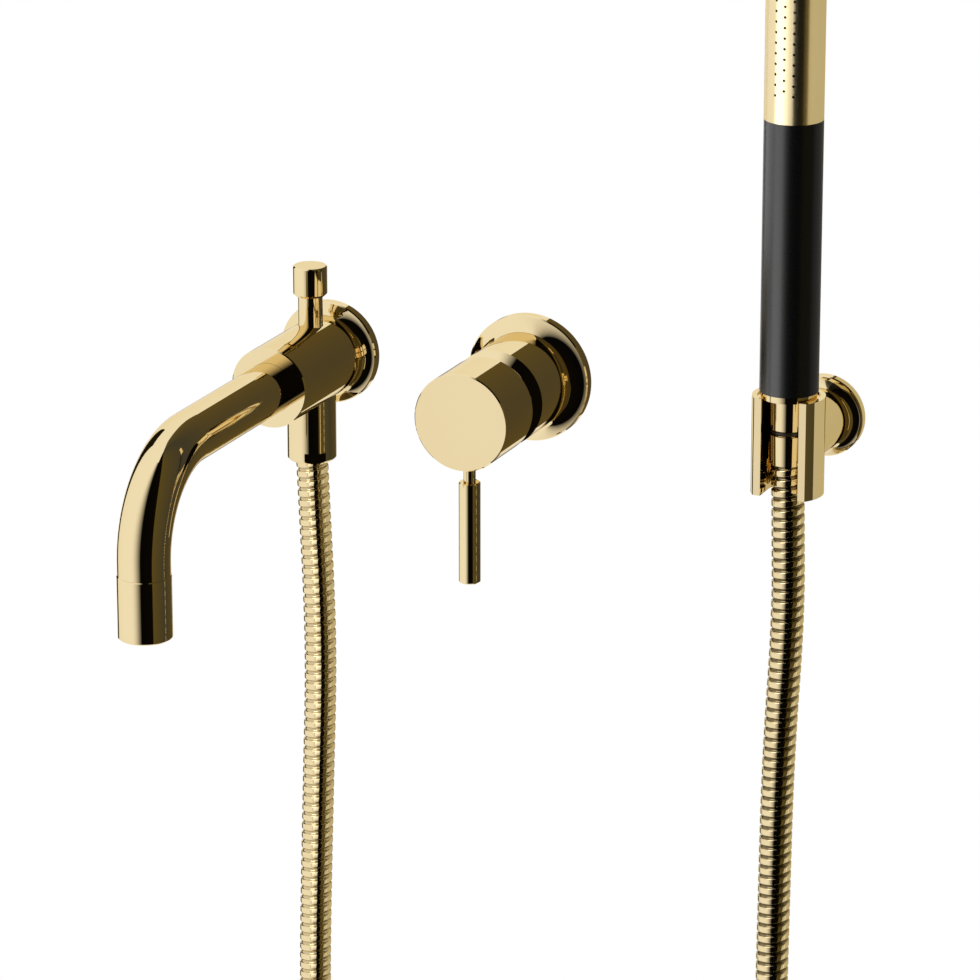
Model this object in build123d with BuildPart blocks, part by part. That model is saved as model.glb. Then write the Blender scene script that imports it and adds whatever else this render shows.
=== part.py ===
"""Wall mounted bath set: spout with diverter, single-lever mixer, hand shower on its holder.

The wall is the plane y = 0 and the set stands out from it towards -y. x runs to the right, z up.
The origin is the mixer's axis on the wall. Sizes are in millimetres, and "out" is the distance
from the wall. A profile is a list of (radius, out) or (radius, height) corners.
"""
import os
from math import cos, radians, sin, tan

from build123d import *

os.makedirs("parts", exist_ok=True)

# Places of the units on the wall, from the mixer's axis
spout_x = -100.6
holder_x = 143.0

# Clearances: turned parts that slide or screw together, and faces that pass each other
slip = 0.05
running = 0.3
edge_break = 0.5

# What the three rosettes and the two covered seals share
rosette_hollow = 0.5
rosette_seal_depth = 1.3
rosette_seal_width = 2.0

# Spout unit
spout_rosette_radius = 24.1
spout_rosette_rim = 4.5
spout_rosette_hub = 7.3
spout_body_radius = 18.6
spout_body_out = 66.5
spout_body_rear = 1.0
spout_reach = 190.5
spout_bend_radius = 44.0
spout_tube_radius = 11.8
spout_tube_wall = 1.5
spout_tube_end = -49.7
tube_socket_depth = 22.0
water_way_radius = 6.0
nipple_radius = 10.48
nipple_bore = 7.5
nipple_depth = 11.5
nipple_behind_wall = 15.0
nipple_relief = 9.7
seal_thickness = 1.5
grub_radius = 2.5
grub_recess = 0.8
grub_gap = 0.1
grub_socket_radius = 1.4
grub_socket_depth = 2.8
tube_grub_out = 57.5

# Aerator at the spout's tip
aerator_radius = 12.1
aerator_wall = 1.6
aerator_length = 28.8
aerator_recess = 1.5
aerator_insert_height = 8.0
aerator_hole_radius = 1.3
aerator_hole_circle = 6.2
aerator_holes = 8
aerator_spigot = 4.0

# Diverter across the spout body
diverter_out = 22.5
chamber_radius = 7.1
chamber_top = 9.0
bonnet_radius = 5.65
bonnet_top = 32.0
bonnet_seal_depth = 1.4
rod_radius = 3.0
rod_head_radius = 4.2
rod_head_height = 2.0
knob_radius = 7.85
knob_height = 14.1
knob_chamfer = 1.2
knob_roof = 3.7
piston_height = 3.0
piston_seal_height = 2.0

# Hose outlet under the spout body
outlet_radius = 11.35
outlet_top = -12.0
outlet_bottom = -45.9
outlet_bore = 5.0
outlet_chamfer = 1.2
hose_socket_radius = 7.75
hose_socket_depth = 7.5
outlet_flat_across = 20.4
outlet_flat_height = 5.3
outlet_flat_azimuth = 34.0

# Mixer unit
mixer_rosette_radius = 29.6
mixer_rosette_rim = 4.7
mixer_rosette_hub = 8.0
mixer_rosette_lip = 2.0
mixer_seal_gap = 0.9
flange_radius = 27.0
flange_thickness = 3.0
flange_hole_radius = 2.25
flange_hole_circle = 24.0
flange_holes = 3
spigot_radius = 20.25
spigot_length = 14.0
port_circle = 6.0
port_radius = 2.75
port_socket_radius = 4.5
port_socket_depth = 10.0
sleeve_radius = 22.5
sleeve_wall = 1.5
sleeve_cone_run = 2.8
sleeve_mouth = 18.5
sleeve_roof = 1.2
collar_length = 11.0

# Handle and lever
mixer_reach = 79.0
handle_radius = 22.5
handle_length = 30.5
handle_wall = 2.3
handle_front = 5.0
handle_rear_chamfer = 2.0
handle_gap = 6.2
handle_boss_radius = 6.0
handle_boss_length = 8.0
lever_setback = 10.0
lever_screw_in = 1.2
lever_neck_radius = 2.75
lever_grip_radius = 4.9
lever_grip_top = -30.2
lever_grip_bottom = -77.4
handle_grub_radius = 1.5

# Ceramic cartridge
pivot_ahead = 13.0
pivot_overhang = 1.5
cartridge_length = 30.0
cartridge_radius = 12.5
cartridge_shell = 1.9
cartridge_flange_radius = 14.0
cartridge_flange_height = 6.0
cartridge_flange = 2.0
cartridge_lip = 2.9
base_seal_thickness = 1.0
base_seal_inset = 1.0
cartridge_base_height = 14.0
fixed_disc_thickness = 4.0
moving_disc_radius = 6.9
moving_disc_thickness = 3.5
disc_pocket_depth = 2.2
disc_pocket_height = 7.6
guide_radius = 10.3
guide_neck_radius = 8.3
guide_slot_height = 12.8
stem_width = 6.0
stem_engagement = 1.3
stem_end_gap = 1.0
pin_radius = 1.0
body_tube_radius = 15.5
nut_across_flats = 33.0
nut_skirt = 9.0
nut_lip = 2.0

# Wall holder
holder_rosette_radius = 18.6
holder_rosette_rim = 4.0
holder_rosette_hub = 6.3
arm_radius = 13.6
arm_wall = 2.05
arm_rear_out = 0.5
plate_thickness = 11.0
plate_hole_radius = 2.25
plate_hole_spacing = 13.0
arm_grub_out = 8.7
arm_grub_radius = 2.0
arm_grub_bite = 1.0
clip_out = 47.3
clip_radius = 16.1
clip_bore = 8.8
clip_slot = 17.6
clip_front = 10.7
clip_top = 22.2
clip_bottom = -22.3
clip_seat_depth = 0.8
clip_seat_radius = 13.8
clip_screw_radius = 2.5
clip_screw_head = 4.6
clip_screw_length = 17.0

# Hand shower
hand_radius = 13.0
grip_length = 121.9
head_length = 91.4
head_wall = 1.8
head_collar = 9.0
water_tube_radius = 9.5
water_tube_wall = 1.4
connector_top_radius = 8.5
connector_low_radius = 8.3
connector_low = 7.4
connector_shoulder = 2.9
connector_shoulder_radius = 12.4
connector_bore = 4.5
connector_plug = 13.0
inlet_spigot_radius = 6.9
inlet_spigot_length = 10.4
end_cap_height = 3.0
end_cap_plug = 7.0
end_cap_chamfer = 1.0
spray_hole_radius = 0.6
spray_pitch = 4.6
spray_holes = 15
spray_row_angle = 18.5
spray_start = 12.5

# Hose nut, ferrules and ribbed hose
nut_gap = 2.7
cone_nut_length = 13.4
cone_nut_low_radius = 8.0
cone_nut_roof = 2.4
washer_thickness = 2.0
ferrule_gap = 0.2
ferrule_flange = 0.55
ferrule_neck_radius = 5.8
hose_radius = 7.45
hose_rib_depth = 0.9
hose_bore = 4.3
hose_ribs = 100
hose_rib_flank = 0.2
hose_rib_crest = 0.4
hose_arc_share = 0.45
hose_lead = 24.0

# The route the hose hangs in, from the outlet down, round and up to the hand shower
hose_route = [
    (-97.2, -23.5, -112.0),
    (-96.4, -24.1, -150.0),
    (-98.0, -24.9, -205.0),
    (-100.3, -26.4, -300.0),
    (-99.5, -27.5, -400.0),
    (-86.0, -29.5, -483.0),
    (-46.0, -32.5, -549.0),
    (15.0, -36.5, -577.0),
    (79.0, -41.0, -557.0),
    (123.0, -45.0, -498.0),
    (138.0, -47.0, -418.0),
    (139.3, -47.7, -322.0),
    (140.2, -47.6, -225.0),
    (141.0, -47.5, -148.0),
    (144.7, -47.4, -80.0),
]


def wall_section(x):
    """Half section through a piece that stands out from the wall: radius, then out."""
    return Plane(origin=(x, 0, 0), x_dir=(1, 0, 0), z_dir=(0, 0, -1))


def upright(x, out):
    """Plane that faces the room: x to the right, then height."""
    return Plane(origin=(x, -out, 0), x_dir=(1, 0, 0), z_dir=(0, -1, 0))


def level(x, out, height):
    """Plane that faces up, at this height."""
    return Plane(origin=(x, -out, height), x_dir=(1, 0, 0), z_dir=(0, 0, 1))


def wall_axis(x):
    return Axis((x, 0, 0), (0, 1, 0))


def upright_axis(x, out):
    return Axis((x, -out, 0), (0, 0, 1))


def turn(section, axis, corners, mode=Mode.ADD):
    """Turn the closed outline through these corners about the axis, in the open part."""
    with BuildSketch(section) as outline:
        with BuildLine():
            Polyline(*corners, close=True)
        make_face()
    revolve(outline.sketch, axis=axis, mode=mode)


def turn_ring(section, axis, inner, outer, start, end, mode=Mode.ADD):
    """Turn a ring of rectangular section."""
    turn(section, axis, [(inner, start), (outer, start), (outer, end), (inner, end)], mode)


def drill(plane, radius, depth):
    """Cut a round hole from the plane, along its normal, into the open part."""
    with BuildSketch(plane) as mouth:
        Circle(radius)
    extrude(mouth.sketch, amount=depth, mode=Mode.SUBTRACT)


def turn_rosette(section, axis, bore, radius, rim, hub):
    """Turn a rosette: a rim on the wall, and a hollow flare up to the piece that it covers."""
    rim_edge = Vector(radius - edge_break, rim)
    hub_edge = Vector(bore, hub)
    flare = hub_edge - rim_edge
    into_flare = Vector(-flare.Y, flare.X).normalized()
    with BuildSketch(section) as outline:
        with BuildLine():
            Polyline(hub_edge, (bore, 0), (radius, 0), (radius, rim - edge_break), rim_edge)
            ThreePointArc(
                rim_edge, (rim_edge + hub_edge) / 2 + into_flare * rosette_hollow, hub_edge
            )
        make_face()
    revolve(outline.sketch, axis=axis)


# Spout unit
spout_section = wall_section(spout_x)
spout_axis = wall_axis(spout_x)
spout_bore = spout_body_radius + slip
spout_seal_out = 0.5 * spout_rosette_rim

with BuildPart() as spout_rosette:
    turn_rosette(
        spout_section,
        spout_axis,
        spout_bore,
        spout_rosette_radius,
        spout_rosette_rim,
        spout_rosette_hub,
    )
    turn_ring(
        spout_section,
        spout_axis,
        spout_bore,
        spout_bore + rosette_seal_depth,
        spout_seal_out,
        spout_seal_out + rosette_seal_width,
        mode=Mode.SUBTRACT,
    )

with BuildPart() as spout_rosette_seal:
    turn_ring(
        spout_section,
        spout_axis,
        spout_bore,
        spout_bore + rosette_seal_depth,
        spout_seal_out,
        spout_seal_out + rosette_seal_width,
    )

# The body is bored for the nipple behind, the tube in front and the diverter across
nipple_socket_end = spout_body_rear + nipple_depth + seal_thickness
tube_seat_out = spout_body_out - tube_socket_depth
tube_socket_radius = spout_tube_radius + slip
nipple_socket_radius = nipple_radius + slip
bonnet_hole_radius = bonnet_radius + slip
outlet_hole_radius = outlet_radius + slip

with BuildPart() as spout_body:
    turn(
        spout_section,
        spout_axis,
        [
            (water_way_radius, nipple_socket_end),
            (nipple_socket_radius, nipple_socket_end),
            (nipple_socket_radius, spout_body_rear),
            (spout_body_radius, spout_body_rear),
            (spout_body_radius, spout_body_out - edge_break),
            (spout_body_radius - edge_break, spout_body_out),
            (tube_socket_radius, spout_body_out),
            (tube_socket_radius, tube_seat_out),
            (water_way_radius, tube_seat_out),
        ],
    )
    drill(level(spout_x, diverter_out, outlet_top), chamber_radius, chamber_top - outlet_top)
    drill(level(spout_x, diverter_out, chamber_top), bonnet_hole_radius, spout_body_radius)
    drill(level(spout_x, diverter_out, outlet_top), outlet_hole_radius, -spout_body_radius)
    drill(level(spout_x, tube_grub_out, 0), grub_radius + slip, -spout_body_radius)

# Thread ends of the nipple on both sides of a relief groove at the wall
nipple_end = spout_body_rear + nipple_depth

with BuildPart() as spout_wall_nipple:
    turn(
        spout_section,
        spout_axis,
        [
            (nipple_bore, -nipple_behind_wall),
            (nipple_radius, -nipple_behind_wall),
            (nipple_radius, 0),
            (nipple_relief, 0),
            (nipple_relief, spout_body_rear),
            (nipple_radius, spout_body_rear),
            (nipple_radius, nipple_end),
            (nipple_bore, nipple_end),
        ],
    )

with BuildPart() as spout_nipple_seal:
    turn_ring(
        spout_section,
        spout_axis,
        nipple_bore,
        nipple_radius,
        nipple_end,
        nipple_socket_end,
    )

tube_start_out = tube_seat_out + seal_thickness
tube_bore = spout_tube_radius - spout_tube_wall

with BuildPart() as spout_tube_seal:
    turn_ring(
        spout_section, spout_axis, tube_bore, spout_tube_radius, tube_seat_out, tube_start_out
    )

with BuildPart() as spout_tube:
    with BuildLine():
        FilletPolyline(
            (spout_x, -tube_start_out, 0),
            (spout_x, -spout_reach, 0),
            (spout_x, -spout_reach, spout_tube_end),
            radius=spout_bend_radius,
        )
    with BuildSketch(upright(spout_x, tube_start_out)):
        Circle(spout_tube_radius)
        Circle(tube_bore, mode=Mode.SUBTRACT)
    sweep()

with BuildPart() as spout_grub_screw:
    turn_ring(
        upright(spout_x, tube_grub_out),
        upright_axis(spout_x, tube_grub_out),
        0,
        grub_radius,
        -spout_body_radius + grub_recess,
        -spout_tube_radius - grub_gap,
    )
    with BuildSketch(level(spout_x, tube_grub_out, -spout_body_radius + grub_recess)):
        RegularPolygon(grub_socket_radius, 6)
    extrude(amount=grub_socket_depth, mode=Mode.SUBTRACT)

# Aerator ring, its insert and washer
tip_section = upright(spout_x, spout_reach)
tip_axis = upright_axis(spout_x, spout_reach)
aerator_bore = aerator_radius - aerator_wall
aerator_bottom = spout_tube_end - aerator_length
insert_bottom = aerator_bottom + aerator_recess
insert_top = insert_bottom + aerator_insert_height
aerator_shoulder = insert_top + washer_thickness
aerator_throat = tube_bore - slip - spout_tube_wall

with BuildPart() as aerator_ring:
    turn(
        tip_section,
        tip_axis,
        [
            (aerator_bore, aerator_bottom),
            (aerator_radius - edge_break, aerator_bottom),
            (aerator_radius, aerator_bottom + edge_break),
            (aerator_radius, spout_tube_end - edge_break),
            (aerator_radius - edge_break, spout_tube_end),
            (tube_bore - slip, spout_tube_end),
            (tube_bore - slip, spout_tube_end + aerator_spigot),
            (aerator_throat, spout_tube_end + aerator_spigot),
            (aerator_throat, aerator_shoulder),
            (aerator_bore, aerator_shoulder),
        ],
    )

with BuildPart() as aerator_insert:
    turn_ring(tip_section, tip_axis, 0, aerator_bore - slip, insert_bottom, insert_top)
    with BuildSketch(level(spout_x, spout_reach, insert_bottom)):
        Circle(aerator_hole_radius)
        with PolarLocations(aerator_hole_circle, aerator_holes):
            Circle(aerator_hole_radius)
    extrude(amount=aerator_insert_height, mode=Mode.SUBTRACT)

with BuildPart() as aerator_washer:
    turn_ring(tip_section, tip_axis, aerator_throat, aerator_bore - slip, insert_top, aerator_shoulder)

# Diverter: bonnet fixed in the body, rod with knob above and piston between two seals below
diverter_section = upright(spout_x, diverter_out)
diverter_axis = upright_axis(spout_x, diverter_out)
bonnet_seal_low = 0.5 * (chamber_top + spout_body_radius)
lower_seal_top = outlet_top + piston_seal_height
piston_top = lower_seal_top + piston_height
upper_seal_top = piston_top + piston_seal_height
knob_bottom = bonnet_top + running
rod_top = knob_bottom + knob_height - knob_roof
rod_fit = rod_radius + slip

with BuildPart() as diverter_bonnet:
    turn_ring(diverter_section, diverter_axis, rod_fit, bonnet_radius, chamber_top, bonnet_top)
    turn_ring(
        diverter_section,
        diverter_axis,
        rod_fit,
        rod_fit + bonnet_seal_depth,
        bonnet_seal_low,
        bonnet_seal_low + rosette_seal_width,
        mode=Mode.SUBTRACT,
    )

with BuildPart() as diverter_bonnet_seal:
    turn_ring(
        diverter_section,
        diverter_axis,
        rod_fit,
        rod_fit + bonnet_seal_depth,
        bonnet_seal_low,
        bonnet_seal_low + rosette_seal_width,
    )

with BuildPart() as diverter_rod:
    turn(
        diverter_section,
        diverter_axis,
        [
            (0, outlet_top - rod_head_height),
            (rod_head_radius, outlet_top - rod_head_height),
            (rod_head_radius, outlet_top),
            (rod_radius, outlet_top),
            (rod_radius, rod_top),
            (0, rod_top),
        ],
    )

with BuildPart() as diverter_knob:
    turn(
        diverter_section,
        diverter_axis,
        [
            (rod_radius, knob_bottom),
            (knob_radius - knob_chamfer, knob_bottom),
            (knob_radius, knob_bottom + knob_chamfer),
            (knob_radius, knob_bottom + knob_height - edge_break),
            (knob_radius - edge_break, knob_bottom + knob_height),
            (0, knob_bottom + knob_height),
            (0, rod_top),
            (rod_radius, rod_top),
        ],
    )

piston_radius = chamber_radius - running

with BuildPart() as diverter_lower_seal:
    turn_ring(
        diverter_section, diverter_axis, rod_radius, piston_radius, outlet_top, lower_seal_top
    )

with BuildPart() as diverter_piston:
    turn_ring(
        diverter_section, diverter_axis, rod_radius, piston_radius, lower_seal_top, piston_top
    )

with BuildPart() as diverter_upper_seal:
    turn_ring(
        diverter_section, diverter_axis, rod_radius, piston_radius, piston_top, upper_seal_top
    )

# Hose outlet with two wrench flats, and the washer inside it
hose_socket_top = outlet_bottom + hose_socket_depth
flat_direction = Vector(sin(radians(outlet_flat_azimuth)), -cos(radians(outlet_flat_azimuth)), 0)
flat_plane = Plane(
    origin=(spout_x, -diverter_out, outlet_bottom), x_dir=flat_direction, z_dir=(0, 0, 1)
)

with BuildPart() as hose_outlet:
    turn(
        diverter_section,
        diverter_axis,
        [
            (outlet_bore, outlet_top),
            (outlet_radius, outlet_top),
            (outlet_radius, outlet_bottom + outlet_chamfer),
            (outlet_radius - outlet_chamfer, outlet_bottom),
            (hose_socket_radius, outlet_bottom),
            (hose_socket_radius, hose_socket_top),
            (outlet_bore, hose_socket_top),
        ],
    )
    with BuildSketch(flat_plane):
        with Locations((outlet_flat_across, 0), (-outlet_flat_across, 0)):
            Rectangle(outlet_flat_across, 2 * outlet_radius)
    extrude(amount=outlet_flat_height, mode=Mode.SUBTRACT)

with BuildPart() as outlet_washer:
    turn_ring(
        diverter_section,
        diverter_axis,
        outlet_bore,
        hose_socket_radius - slip,
        hose_socket_top - washer_thickness,
        hose_socket_top,
    )

with BuildPart() as hose_outlet_ferrule:
    turn_ring(
        diverter_section,
        diverter_axis,
        hose_bore,
        hose_socket_radius - slip,
        outlet_bottom,
        hose_socket_top - washer_thickness,
    )

# Mixer unit
mixer_section = wall_section(0)
mixer_axis = wall_axis(0)
sleeve_bore = sleeve_radius - sleeve_wall
collar_radius = sleeve_bore - 2 * slip
collar_out = flange_thickness + collar_length
cartridge_seat = cartridge_radius + 2 * slip
handle_rear_out = mixer_reach - handle_length
pivot_out = handle_rear_out + pivot_ahead
cartridge_front_out = pivot_out - pivot_overhang
cartridge_out = cartridge_front_out - cartridge_length
cartridge_flange_out = cartridge_out + cartridge_flange_height
fixed_disc_out = cartridge_out + cartridge_base_height

with BuildPart() as mixer_body:
    turn(
        mixer_section,
        mixer_axis,
        [
            (0, -spigot_length),
            (spigot_radius, -spigot_length),
            (spigot_radius, 0),
            (flange_radius, 0),
            (flange_radius, flange_thickness),
            (collar_radius, flange_thickness),
            (collar_radius, collar_out),
            (body_tube_radius, collar_out),
            (body_tube_radius, cartridge_flange_out),
            (cartridge_seat, cartridge_flange_out),
            (cartridge_seat, cartridge_out),
            (0, cartridge_out),
        ],
    )
    with BuildSketch(upright(0, -spigot_length)):
        with PolarLocations(port_circle, 3, start_angle=90):
            Circle(port_radius)
    extrude(amount=spigot_length + cartridge_out, mode=Mode.SUBTRACT)
    with BuildSketch(upright(0, -spigot_length)):
        with PolarLocations(port_circle, 3, start_angle=90):
            Circle(port_socket_radius)
    extrude(amount=port_socket_depth, mode=Mode.SUBTRACT)
    with BuildSketch(upright(0, 0)):
        with PolarLocations(flange_hole_circle, flange_holes, start_angle=30):
            Circle(flange_hole_radius)
    extrude(amount=flange_thickness, mode=Mode.SUBTRACT)

mixer_bore = sleeve_radius + slip
mixer_seal_out = flange_thickness + mixer_seal_gap

with BuildPart() as mixer_rosette:
    turn_rosette(
        mixer_section,
        mixer_axis,
        mixer_bore,
        mixer_rosette_radius,
        mixer_rosette_rim,
        mixer_rosette_hub,
    )
    turn_ring(
        mixer_section,
        mixer_axis,
        mixer_bore,
        mixer_rosette_radius - mixer_rosette_lip,
        0,
        flange_thickness + running,
        mode=Mode.SUBTRACT,
    )
    turn_ring(
        mixer_section,
        mixer_axis,
        mixer_bore,
        mixer_bore + rosette_seal_depth,
        mixer_seal_out,
        mixer_seal_out + rosette_seal_width,
        mode=Mode.SUBTRACT,
    )

with BuildPart() as mixer_rosette_seal:
    turn_ring(
        mixer_section,
        mixer_axis,
        mixer_bore,
        mixer_bore + rosette_seal_depth,
        mixer_seal_out,
        mixer_seal_out + rosette_seal_width,
    )

sleeve_out = handle_rear_out - handle_gap
sleeve_cone_slope = sleeve_cone_run / (sleeve_radius - sleeve_mouth)

with BuildPart() as mixer_sleeve:
    turn(
        mixer_section,
        mixer_axis,
        [
            (sleeve_bore, flange_thickness),
            (sleeve_radius, flange_thickness),
            (sleeve_radius, sleeve_out - sleeve_cone_run),
            (sleeve_mouth, sleeve_out),
            (sleeve_mouth, sleeve_out - sleeve_roof),
            (sleeve_bore, sleeve_out - sleeve_roof - sleeve_cone_slope * (sleeve_bore - sleeve_mouth)),
        ],
    )

# Cartridge, from the seal on the body's floor to the turning guide
shell_bore = cartridge_radius - cartridge_shell
disc_fit = shell_bore - 2 * slip
fixed_disc_front = fixed_disc_out + fixed_disc_thickness
moving_disc_front = fixed_disc_front + moving_disc_thickness
guide_out = moving_disc_front + running
guide_shoulder = cartridge_front_out - cartridge_lip - running
guide_front = pivot_out + pin_radius + edge_break
base_seal_radius = disc_fit - base_seal_inset

with BuildPart() as cartridge_base_seal:
    turn_ring(
        mixer_section,
        mixer_axis,
        0,
        base_seal_radius - slip,
        cartridge_out,
        cartridge_out + base_seal_thickness,
    )
    with BuildSketch(upright(0, cartridge_out)):
        with PolarLocations(port_circle, 3, start_angle=90):
            Circle(port_radius)
    extrude(amount=base_seal_thickness, mode=Mode.SUBTRACT)

with BuildPart() as cartridge_base:
    turn_ring(mixer_section, mixer_axis, 0, disc_fit, cartridge_out, fixed_disc_out)
    turn_ring(
        mixer_section,
        mixer_axis,
        0,
        base_seal_radius,
        cartridge_out,
        cartridge_out + base_seal_thickness,
        mode=Mode.SUBTRACT,
    )
    with BuildSketch(upright(0, cartridge_out)):
        with PolarLocations(port_circle, 3, start_angle=90):
            Circle(port_radius)
    extrude(amount=fixed_disc_out - cartridge_out, mode=Mode.SUBTRACT)

with BuildPart() as fixed_ceramic_disc:
    turn_ring(mixer_section, mixer_axis, 0, disc_fit, fixed_disc_out, fixed_disc_front)
    with BuildSketch(upright(0, fixed_disc_out)):
        with PolarLocations(port_circle, 3, start_angle=90):
            Circle(port_radius)
    extrude(amount=fixed_disc_thickness, mode=Mode.SUBTRACT)

with BuildPart() as moving_ceramic_disc:
    turn_ring(
        mixer_section, mixer_axis, 0, moving_disc_radius, fixed_disc_front, moving_disc_front
    )
    with BuildSketch(upright(0, moving_disc_front - disc_pocket_depth)):
        Rectangle(stem_width + 2 * running, disc_pocket_height)
    extrude(amount=disc_pocket_depth, mode=Mode.SUBTRACT)

with BuildPart() as cartridge_housing:
    turn(
        mixer_section,
        mixer_axis,
        [
            (shell_bore, cartridge_out),
            (cartridge_radius, cartridge_out),
            (cartridge_radius, cartridge_flange_out),
            (cartridge_flange_radius, cartridge_flange_out),
            (cartridge_flange_radius, cartridge_flange_out + cartridge_flange),
            (cartridge_radius, cartridge_flange_out + cartridge_flange),
            (cartridge_radius, cartridge_front_out),
            (guide_neck_radius + running, cartridge_front_out),
            (guide_neck_radius + running, cartridge_front_out - cartridge_lip),
            (shell_bore, cartridge_front_out - cartridge_lip),
        ],
    )

with BuildPart() as cartridge_guide:
    turn(
        mixer_section,
        mixer_axis,
        [
            (0, guide_out),
            (guide_radius, guide_out),
            (guide_radius, guide_shoulder),
            (guide_neck_radius, guide_shoulder),
            (guide_neck_radius, guide_front),
            (0, guide_front),
        ],
    )
    with BuildSketch(upright(0, guide_out)):
        Rectangle(stem_width + 2 * running, guide_slot_height)
    extrude(amount=guide_front - guide_out, mode=Mode.SUBTRACT)
    with BuildSketch(Plane(origin=(0, -pivot_out, 0), x_dir=(0, 1, 0), z_dir=(1, 0, 0))):
        Circle(pin_radius + slip)
    extrude(amount=guide_radius, both=True, mode=Mode.SUBTRACT)

with BuildPart() as cartridge_pivot_pin:
    with BuildSketch(Plane(origin=(0, -pivot_out, 0), x_dir=(0, 1, 0), z_dir=(1, 0, 0))):
        Circle(pin_radius)
    extrude(amount=guide_neck_radius - edge_break, both=True)

# The stem's inner end stays clear of the pocket's floor when it tilts
stem_inner_out = moving_disc_front - stem_engagement
stem_outer_out = mixer_reach - handle_front - stem_end_gap
boss_rear_out = mixer_reach - handle_front - handle_boss_length

with BuildPart() as cartridge_stem:
    with BuildSketch(upright(0, stem_inner_out)):
        Rectangle(stem_width, stem_width)
    extrude(amount=stem_outer_out - stem_inner_out)
    with BuildSketch(Plane(origin=(0, -pivot_out, 0), x_dir=(0, 1, 0), z_dir=(1, 0, 0))):
        Circle(pin_radius + slip)
    extrude(amount=stem_width, both=True, mode=Mode.SUBTRACT)

nut_lip_out = cartridge_flange_out + cartridge_flange

with BuildPart() as cartridge_nut:
    with BuildSketch(upright(0, nut_lip_out - nut_skirt)):
        RegularPolygon(nut_across_flats / 2, 6, major_radius=False)
    extrude(amount=nut_skirt + nut_lip)
    turn_ring(
        mixer_section,
        mixer_axis,
        0,
        body_tube_radius + slip,
        nut_lip_out - nut_skirt,
        nut_lip_out,
        mode=Mode.SUBTRACT,
    )
    turn_ring(
        mixer_section,
        mixer_axis,
        0,
        cartridge_radius + running,
        nut_lip_out,
        nut_lip_out + nut_lip,
        mode=Mode.SUBTRACT,
    )

# Handle cap on the stem, with the lever screwed up into its boss
handle_bore = handle_radius - handle_wall
handle_roof = mixer_reach - handle_front
lever_out = mixer_reach - lever_setback
lever_top = lever_screw_in - handle_boss_radius

with BuildPart() as handle_cap:
    turn(
        mixer_section,
        mixer_axis,
        [
            (0, boss_rear_out),
            (handle_boss_radius, boss_rear_out),
            (handle_boss_radius, handle_roof),
            (handle_bore, handle_roof),
            (handle_bore, handle_rear_out),
            (handle_radius - handle_rear_chamfer, handle_rear_out),
            (handle_radius, handle_rear_out + handle_rear_chamfer),
            (handle_radius, mixer_reach - edge_break),
            (handle_radius - edge_break, mixer_reach),
            (0, mixer_reach),
        ],
    )
    with BuildSketch(upright(0, boss_rear_out)):
        Rectangle(stem_width + 2 * slip, stem_width + 2 * slip)
    extrude(amount=stem_outer_out - boss_rear_out, mode=Mode.SUBTRACT)
    drill(level(0, lever_out, lever_top), lever_neck_radius + slip, -2 * handle_radius)
    drill(level(0, lever_out, 0), handle_grub_radius + slip, handle_boss_radius)

with BuildPart() as handle_grub_screw:
    turn_ring(
        upright(0, lever_out),
        upright_axis(0, lever_out),
        0,
        handle_grub_radius,
        0.5 * stem_width + slip,
        handle_boss_radius - edge_break,
    )

with BuildPart() as mixer_lever:
    turn(
        upright(0, lever_out),
        upright_axis(0, lever_out),
        [
            (0, lever_top),
            (lever_neck_radius, lever_top),
            (lever_neck_radius, lever_grip_top),
            (lever_grip_radius - edge_break, lever_grip_top),
            (lever_grip_radius, lever_grip_top - edge_break),
            (lever_grip_radius, lever_grip_bottom + edge_break),
            (lever_grip_radius - edge_break, lever_grip_bottom),
            (0, lever_grip_bottom),
        ],
    )

# Wall holder
holder_section = wall_section(holder_x)
holder_axis = wall_axis(holder_x)
holder_bore = arm_radius + slip
arm_bore = arm_radius - arm_wall
plate_radius = arm_bore - slip
arm_grub_tip = arm_grub_bite - plate_radius

with BuildPart() as holder_rosette:
    turn_rosette(
        holder_section,
        holder_axis,
        holder_bore,
        holder_rosette_radius,
        holder_rosette_rim,
        holder_rosette_hub,
    )

with BuildPart() as holder_wall_plate:
    turn_ring(holder_section, holder_axis, 0, plate_radius, 0, plate_thickness)
    with BuildSketch(upright(holder_x, 0)):
        with GridLocations(plate_hole_spacing, 0, 2, 1):
            Circle(plate_hole_radius)
    extrude(amount=plate_thickness, mode=Mode.SUBTRACT)
    drill(level(holder_x, arm_grub_out, arm_grub_tip), arm_grub_radius + slip, -plate_radius)

screw_head_out = clip_out - clip_bore - edge_break
screw_neck_out = screw_head_out - (clip_screw_head - clip_screw_radius)
screw_end_out = screw_head_out - clip_screw_length

with BuildPart() as holder_arm:
    turn_ring(holder_section, holder_axis, 0, arm_radius, arm_rear_out, clip_out)
    turn_ring(
        holder_section,
        holder_axis,
        0,
        arm_bore,
        arm_rear_out,
        plate_thickness,
        mode=Mode.SUBTRACT,
    )
    with BuildSketch(level(holder_x, clip_out, -arm_radius)):
        Circle(clip_radius + slip)
    extrude(amount=2 * arm_radius, mode=Mode.SUBTRACT)
    drill(upright(holder_x, screw_end_out), clip_screw_radius + slip, clip_screw_length)
    drill(level(holder_x, arm_grub_out, arm_grub_tip), arm_grub_radius + slip, -arm_radius)

with BuildPart() as holder_grub_screw:
    turn_ring(
        upright(holder_x, arm_grub_out),
        upright_axis(holder_x, arm_grub_out),
        0,
        arm_grub_radius,
        -arm_radius + edge_break,
        arm_grub_tip,
    )

clip_seat = clip_top - clip_seat_depth
hand_section = upright(holder_x, clip_out)
hand_axis = upright_axis(holder_x, clip_out)

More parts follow.
